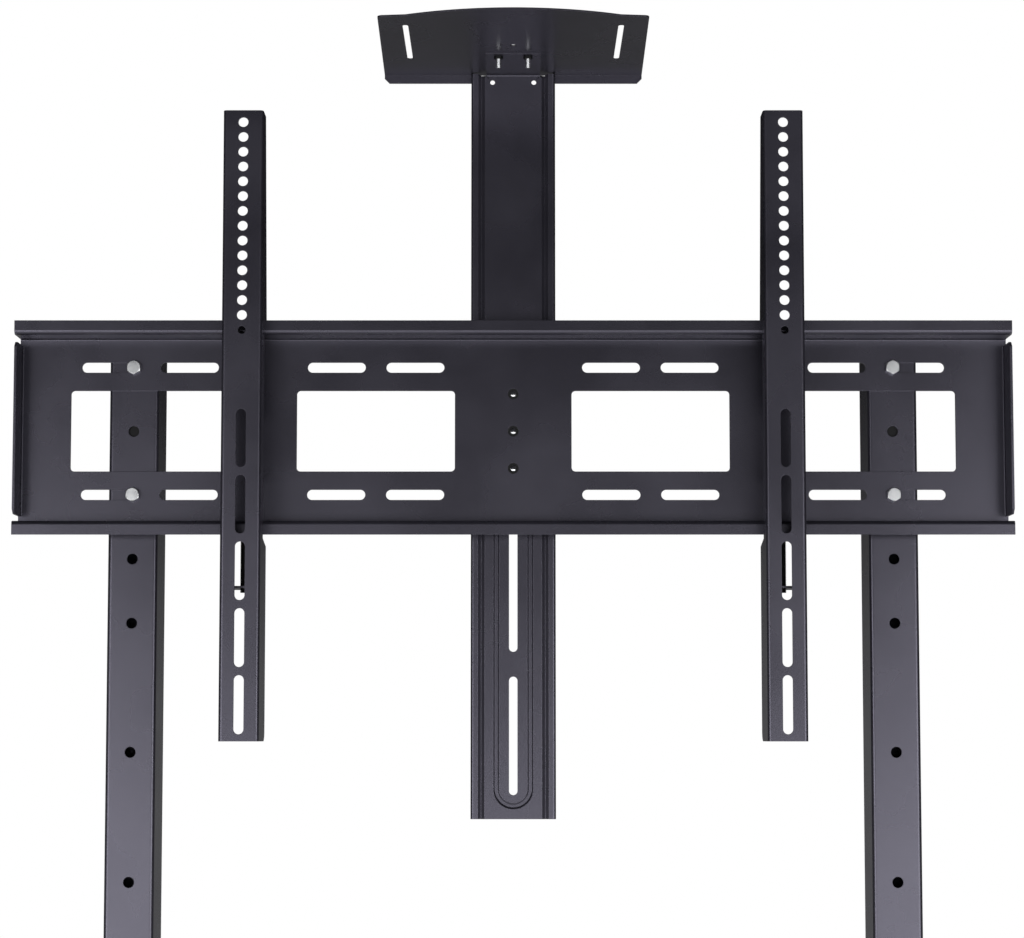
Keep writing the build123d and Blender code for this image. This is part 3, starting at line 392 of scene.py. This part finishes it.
mastBends = {"edge": 0.5 * mm, "bend": 1.1 * mm, "segments": 4, "sharpDeg": 25, "squareDeg": 70, "specks": False,
             "grooveWalls": ((20.2 * mm, 18.5 * mm), (14.2 * mm, 15.9 * mm)), "wallReach": 0.3 * mm,
             "grooveDepth": 1.2 * mm, "sheet": 2 * mm, "slotLow": 1038.2 * mm, "slotHigh": 1463.8 * mm,
             "belowTongue": 1600 * mm, "tongueSide": 27.5 * mm, "reliefFoot": 1765.4 * mm,
             "reliefRise": 2.58 * mm}
mastSheet = sheetOf("mast", "mastSheet")
mastFrontY = min(vertex.co.y for vertex in mastSheet.data.vertices if vertex.co.z < mastBends["belowTongue"])
for vertex in mastSheet.data.vertices:
    spot = vertex.co
    # the cuts beside the tongue end close under its bend
    beside = abs(abs(spot.x) - mastBends["tongueSide"]) < 2 * near
    if beside and abs(spot.z - mastBends["reliefFoot"]) < 2 * near:
        spot.z += mastBends["reliefRise"]
    # the groove's walls lean, as a press leaves them
    depth = spot.y - mastFrontY - mastBends["grooveDepth"]
    if min(abs(depth), abs(depth - mastBends["sheet"])) > near:
        continue
    middle = Vector((0, spot.y, min(max(spot.z, mastBends["slotLow"]), mastBends["slotHigh"])))
    for wall, foot in mastBends["grooveWalls"]:
        if abs((spot - middle).length - wall) < mastBends["wallReach"]:
            vertex.co = middle + (spot - middle).normalized() * foot
            break
mastSheet.data.update()
roundOff(mastSheet, mastBends)
standFor(mastSheet, "mast", "mast_and_tray", "black_coating")

# the tray's rear lip comes close up to the mast on both sides
trayBends = {"edge": 0.3 * mm, "bend": 0.3 * mm, "segments": 2, "sharpDeg": 40, "squareDeg": 70, "specks": True,
             "lipGap": 46 * mm, "lipClose": 43.1 * mm}
traySheet = sheetOf("tray", "traySheet")
for vertex in traySheet.data.vertices:
    if abs(abs(vertex.co.x) - trayBends["lipGap"]) < near:
        vertex.co.x *= trayBends["lipClose"] / trayBends["lipGap"]
traySheet.data.update()
roundOff(traySheet, trayBends)
standFor(traySheet, "tray", "mast_and_tray", "black_coating")


# bolts and screws: each set stands for its CAD node
def boltSet(name, node, body, slot, model, turns, places):
    twins = [copied(model, turn, place) for turn, place in zip(turns, places)]
    bpy.data.objects.remove(model, do_unlink=True)
    standFor(joined(twins, name), node, body, slot)
    print(name, "made,", len(places), "copies")


def hexSet(name, node, size, turns, places):
    model = bolted(hexHead(size["across"], size["head"]), size, 0)
    boltSet(name, node, "stand", "zinc_steel", model, turns, places)


plateBolts = {"diameter": 8 * mm, "pitch": 1.25 * mm, "across": 13 * mm, "head": 5.3 * mm, "length": 15 * mm,
              "rise": 65 * mm}
places = [(side * postX, plateFaceY, plateZ + row * plateBolts["rise"])
          for side in (-1, 1) for row in (-1, 1)]
hexSet("plateBoltSet", "plate_bolts", plateBolts, [(radians(90), radians(30), 0)] * 4, places)

mastBolts = {"diameter": 6 * mm, "pitch": 1.0 * mm, "across": 10 * mm, "head": 4 * mm, "length": 6.1 * mm,
             "gap": 38 * mm, "seatY": -26.4 * mm}
places = [(0, mastBolts["seatY"], plateZ + step * mastBolts["gap"]) for step in (-1, 0, 1)]
hexSet("mastBoltSet", "mast_bolts", mastBolts, [(radians(-90), 0, 0)] * 3, places)

footBolts = {"diameter": 8 * mm, "pitch": 1.25 * mm, "across": 13 * mm, "head": 5.3 * mm, "length": 18 * mm,
             "seatZ": 150 * mm, "offX": 17 * mm, "offY": 62 * mm}
places = [(side * postX + across * footBolts["offX"], along * footBolts["offY"], footBolts["seatZ"])
          for side in (-1, 1) for across in (-1, 1) for along in (-1, 1)]
hexSet("footBoltSet", "foot_bolts", footBolts, [(0, 0, 0)] * 8, places)

crossbarBolts = {"diameter": 8 * mm, "pitch": 1.25 * mm, "across": 13 * mm, "head": 5.3 * mm,
                 "length": 16 * mm, "seatX": 355.5 * mm, "rise": 50 * mm}
places = [(side * crossbarBolts["seatX"], 0, crossbarZ + row * crossbarBolts["rise"])
          for side in (-1, 1) for row in (-1, 1)]
hexSet("crossbarBoltSet", "crossbar_bolts", crossbarBolts,
       [(0, radians(-90 * side), 0) for side in (-1, 1) for row in (-1, 1)], places)


def sunk(piece, sides, radius, depth, top):
    # a bore or a key's socket, as deep above the given height as below it
    clearSelection()
    bpy.ops.mesh.primitive_cylinder_add(vertices=sides, radius=radius, depth=depth * 2, location=(0, 0, top))
    cutWith(piece, settle(bpy.context.object, "tool"), "DIFFERENCE")
    return piece


# studs pressed flush into the tray, with a thin nut under the mast's tongue on each
trayStuds = {"diameter": 5 * mm, "pitch": 0.8 * mm, "head": 7.8 * mm, "thick": 1.5 * mm,
             "length": 13.5 * mm, "sides": 40, "edge": 0.12 * mm, "edgeSteps": 2,
             "offX": 14.7 * mm, "y": -97 * mm, "topZ": 1772.5 * mm}
clearSelection()
bpy.ops.mesh.primitive_cylinder_add(vertices=trayStuds["sides"], radius=trayStuds["head"] / 2,
                                    depth=trayStuds["thick"], location=(0, 0, -trayStuds["thick"] / 2))
disc = settle(bpy.context.object, "disc")
bpy.ops.object.mode_set(mode="EDIT")
bpy.ops.mesh.select_mode(type="FACE")
bpy.ops.mesh.select_all(action="DESELECT")
bpy.ops.object.mode_set(mode="OBJECT")
for face in disc.data.polygons:
    face.select = face.normal.z > 0.9  # the top
bpy.ops.object.mode_set(mode="EDIT")
bpy.ops.mesh.bevel(offset=trayStuds["edge"], segments=trayStuds["edgeSteps"], affect="EDGES")
bpy.ops.object.mode_set(mode="OBJECT")
stud = bolted(disc, trayStuds, -trayStuds["thick"])
places = [(side * trayStuds["offX"], trayStuds["y"], trayStuds["topZ"]) for side in (-1, 1)]
boltSet("trayStudSet", "tray_studs", "mast_and_tray", "zinc_steel", stud, [(0, 0, 0)] * 2, places)

trayNuts = {"across": 8 * mm, "height": 2.7 * mm, "bore": 2.52 * mm, "boreSides": 24,
            "boreDepth": 3.78 * mm, "topZ": 1769 * mm}
nut = sunk(hexHead(trayNuts["across"], trayNuts["height"]), trayNuts["boreSides"], trayNuts["bore"],
           trayNuts["boreDepth"], trayNuts["height"])
places = [(side * trayStuds["offX"], trayStuds["y"], trayNuts["topZ"]) for side in (-1, 1)]
boltSet("trayNutSet", "tray_nuts", "mast_and_tray", "black_steel", nut, [(pi, 0, 0)] * 2, places)

lockScrews = {"diameter": 6 * mm, "pitch": 1.0 * mm, "length": 66 * mm, "steps": 16, "socket": 1.73 * mm,
              "socketDepth": 4 * mm, "x": 270 * mm, "y": -59 * mm, "lowZ": 1234 * mm}
for side, name in ((-1, "left"), (1, "right")):
    rod = sunk(threadedRod(lockScrews), 6, lockScrews["socket"], lockScrews["socketDepth"], 0)
    boltSet(name + "SetScrew", name + "_lock_screw", name + "_lock", "black_steel", rod, [(0, 0, 0)],
            [(side * lockScrews["x"], lockScrews["y"], lockScrews["lowZ"])])

# weld beads round the foot of each post and the ends of the crossbar
weldLook = {"radius": 2.2 * mm, "pitch": 2.0 * mm, "segments": 8, "rings": 5, "turn": (0.3, 0.2, 0.4),
            "postHalf": (25.2 * mm, 30.2 * mm), "footZ": 150.5 * mm,
            "barHalf": (20.2 * mm, 30.2 * mm), "barEndX": 355.3 * mm}


def weldBead(name, corners):
    clearSelection()
    bpy.ops.mesh.primitive_uv_sphere_add(segments=weldLook["segments"], ring_count=weldLook["rings"],
                                         radius=weldLook["radius"])
    drop = settle(bpy.context.object, "drop")
    turnX, turnY, turnZ = weldLook["turn"]
    drops = []
    for start, end in zip(corners, corners[1:] + corners[:1]):
        start, end = Vector(start), Vector(end)
        count = max(2, round((end - start).length / weldLook["pitch"]))
        for step in range(count):
            spot = start.lerp(end, step / count)
            drops.append(copied(drop, (turnX * (step % 3), turnY * (step % 2), turnZ * step), spot))
    bpy.data.objects.remove(drop, do_unlink=True)
    bead = joined(drops, name)
    selectOnly(bead)
    bpy.ops.object.shade_smooth()
    dress(bead, powderCoat)
    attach(bead, "stand")


aroundTube = ((-1, -1), (1, -1), (1, 1), (-1, 1))
postWide, postDeep = weldLook["postHalf"]
barDeep, barHigh = weldLook["barHalf"]
for side, name in ((-1, "left"), (1, "right")):
    weldBead(name + "FootWeld",
             [(side * postX + a * postWide, b * postDeep, weldLook["footZ"]) for a, b in aroundTube])
    weldBead(name + "CrossbarWeld",
             [(side * weldLook["barEndX"], a * barDeep, crossbarZ + b * barHigh) for a, b in aroundTube])
print("weld beads made")

# light: the mirrored studio is bright low down in front, dimmer in the middle, and dark overhead, far out
# and behind
worldLook = {"fill": 0.55, "low": 1.0, "high": 0.02, "fromZ": -0.02, "toZ": 0.18, "middle": 0.42,
             "sideFrom": 0.03, "sideTo": 0.22, "farFrom": 0.55, "farTo": 0.85, "far": 0.22,
             "backFrom": -0.2, "backTo": 0.35, "behind": 0.22}
lights = [
    {"name": "leftSoftbox", "place": (-1.9, -3.1, 0.8), "aim": (-0.3, 0, 1.1), "size": (1.6, 1.5), "power": 26},
    {"name": "rightSoftbox", "place": (1.9, -3.1, 0.8), "aim": (0.3, 0, 1.1), "size": (1.6, 1.5), "power": 26},
    {"name": "lowSoftbox", "place": (0, -3.4, 0.5), "aim": (0, 0, 1.1), "size": (2.4, 0.9), "power": 13},
    {"name": "backSoftbox", "place": (0, 2.6, 2.9), "aim": (0, 0, 1.0), "size": (2.0, 1.6), "power": 22},
    {"name": "topSoftbox", "place": (0, 0.6, 3.6), "aim": (0, 0, 1.3), "size": (2.4, 1.2), "power": 18},
]
for look in lights:
    lamp = bpy.data.lights.new(look["name"], "AREA")
    lamp.shape = "RECTANGLE"
    lamp.size, lamp.size_y = look["size"]
    lamp.energy = look["power"]
    holder = bpy.data.objects.new(look["name"], lamp)
    holder.location = look["place"]
    beam = Vector(look["aim"]) - Vector(look["place"])
    holder.rotation_euler = beam.to_track_quat("-Z", "Y").to_euler()
    holder.visible_glossy = look["place"][1] < 0  # no glare from the lamps above and behind
    bpy.context.collection.objects.link(holder)

world = bpy.data.worlds.new("studio")
bpy.context.scene.world = world
world.use_nodes = True
sky = world.node_tree
sky.nodes.clear()
worldOut = addNode(sky, "ShaderNodeOutputWorld")
direction = addNode(sky, "ShaderNodeTexCoord")
parts = addNode(sky, "ShaderNodeSeparateXYZ")
sky.links.new(direction.outputs["Generated"], parts.inputs["Vector"])


def skyRange(value, fromMin, fromMax, toMin, toMax):
    made = addNode(sky, "ShaderNodeMapRange", interpolation_type="SMOOTHSTEP")
    for name, number in (("From Min", fromMin), ("From Max", fromMax), ("To Min", toMin), ("To Max", toMax)):
        made.inputs[name].default_value = number
    sky.links.new(value, made.inputs["Value"])
    return made.outputs["Result"]


def skyMath(operation, *values):
    made = addNode(sky, "ShaderNodeMath", operation=operation)
    for socket, value in zip(made.inputs, values):
        sky.links.new(value, socket)
    return made.outputs["Value"]


rise = skyRange(parts.outputs["Z"], worldLook["fromZ"], worldLook["toZ"], worldLook["low"], worldLook["high"])
sideways = skyMath("ABSOLUTE", parts.outputs["X"])
aside = skyRange(sideways, worldLook["sideFrom"], worldLook["sideTo"], worldLook["middle"], 1.0)
farAside = skyRange(sideways, worldLook["farFrom"], worldLook["farTo"], 1.0, worldLook["far"])
back = skyRange(parts.outputs["Y"], worldLook["backFrom"], worldLook["backTo"], 1.0, worldLook["behind"])
mirrored = skyMath("MULTIPLY", skyMath("MULTIPLY", rise, aside), skyMath("MULTIPLY", farAside, back))
lighting = addNode(sky, "ShaderNodeBackground")
lighting.inputs["Color"].default_value = (1, 1, 1, 1)
lighting.inputs["Strength"].default_value = worldLook["fill"]
# white to the camera, and the studio in metal and gloss
backdrop = addNode(sky, "ShaderNodeBackground")
backdrop.inputs["Color"].default_value = (1, 1, 1, 1)
rays = addNode(sky, "ShaderNodeLightPath")
sky.links.new(skyMath("MAXIMUM", rays.outputs["Is Camera Ray"], mirrored), backdrop.inputs["Strength"])
seen = skyMath("MAXIMUM", skyMath("MAXIMUM", rays.outputs["Is Camera Ray"], rays.outputs["Is Glossy Ray"]),
               rays.outputs["Is Transmission Ray"])
choose = addNode(sky, "ShaderNodeMixShader")
sky.links.new(seen, choose.inputs["Fac"])
sky.links.new(lighting.outputs["Background"], choose.inputs[1])
sky.links.new(backdrop.outputs["Background"], choose.inputs[2])
sky.links.new(choose.outputs["Shader"], worldOut.inputs["Surface"])

# the floor keeps the shadow near the stand and fades into the white backdrop further out
floorLook = {"radius": 3.0, "sides": 96, "color": (0.90, 0.90, 0.90), "roughness": 0.7, "specular": 0.1,
             "fadeFrom": 0.9, "fadeTo": 2.9}
clearSelection()
bpy.ops.mesh.primitive_circle_add(vertices=floorLook["sides"], radius=floorLook["radius"], fill_type="NGON")
floor = settle(bpy.context.object, "floor")
floorMaterial = bpy.data.materials.new("paleFloor")
floorMaterial.use_nodes = True
ground = floorMaterial.node_tree
floorShader = ground.nodes["Principled BSDF"]
floorShader.inputs["Base Color"].default_value = (*floorLook["color"], 1)
floorShader.inputs["Roughness"].default_value = floorLook["roughness"]
floorShader.inputs["Specular IOR Level"].default_value = floorLook["specular"]
floorPlace = addNode(ground, "ShaderNodeTexCoord")
reach = addNode(ground, "ShaderNodeVectorMath", operation="LENGTH")
ground.links.new(floorPlace.outputs["Object"], reach.inputs[0])
fade = addNode(ground, "ShaderNodeMapRange", interpolation_type="SMOOTHSTEP")
fade.inputs["From Min"].default_value = floorLook["fadeFrom"]
fade.inputs["From Max"].default_value = floorLook["fadeTo"]
ground.links.new(reach.outputs["Value"], fade.inputs["Value"])
clear = addNode(ground, "ShaderNodeBsdfTransparent")
mixFloor = addNode(ground, "ShaderNodeMixShader")
ground.links.new(fade.outputs["Result"], mixFloor.inputs["Fac"])
ground.links.new(floorShader.outputs["BSDF"], mixFloor.inputs[1])
ground.links.new(clear.outputs["BSDF"], mixFloor.inputs[2])
ground.links.new(mixFloor.outputs["Shader"], ground.nodes["Material Output"].inputs["Surface"])
dress(floor, floorMaterial)
print("floor and light set")
